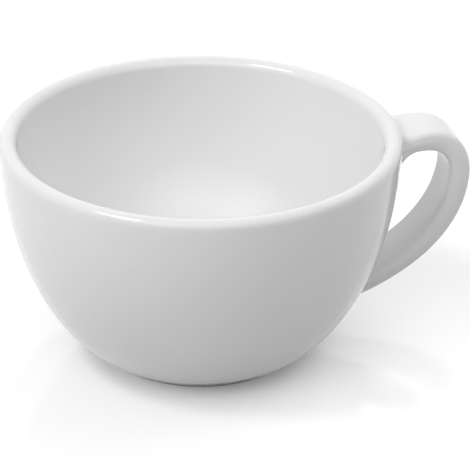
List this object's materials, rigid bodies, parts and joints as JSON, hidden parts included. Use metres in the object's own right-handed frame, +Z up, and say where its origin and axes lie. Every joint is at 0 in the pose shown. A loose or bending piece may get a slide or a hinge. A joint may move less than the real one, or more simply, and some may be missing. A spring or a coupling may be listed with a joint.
{
  "type": "cappuccino cup",
  "caption": "Wide round cappuccino cup in thick white glazed ceramic, with a low unglazed foot ring and a broad strap handle.",
  "frame": {"origin": "on the bowl's axis, in the plane that the foot ring stands on", "axes": "+Z up along the bowl's axis, +X from the axis out through the handle, +Y to the left of the handle seen from the axis"},
  "size_m": [0.1242, 0.105, 0.0615],
  "materials": {
    "white_glaze": "smooth glossy white glaze",
    "bare_ceramic": "bare, finely ground bearing band of the foot ring"
  },
  "bodies": {
    "root": {"bowl": "white_glaze", "foot_ring": "bare_ceramic", "handle": "white_glaze", "upper_slip_fillet": "white_glaze", "lower_slip_fillet": "white_glaze"}
  },
  "joints": []
}
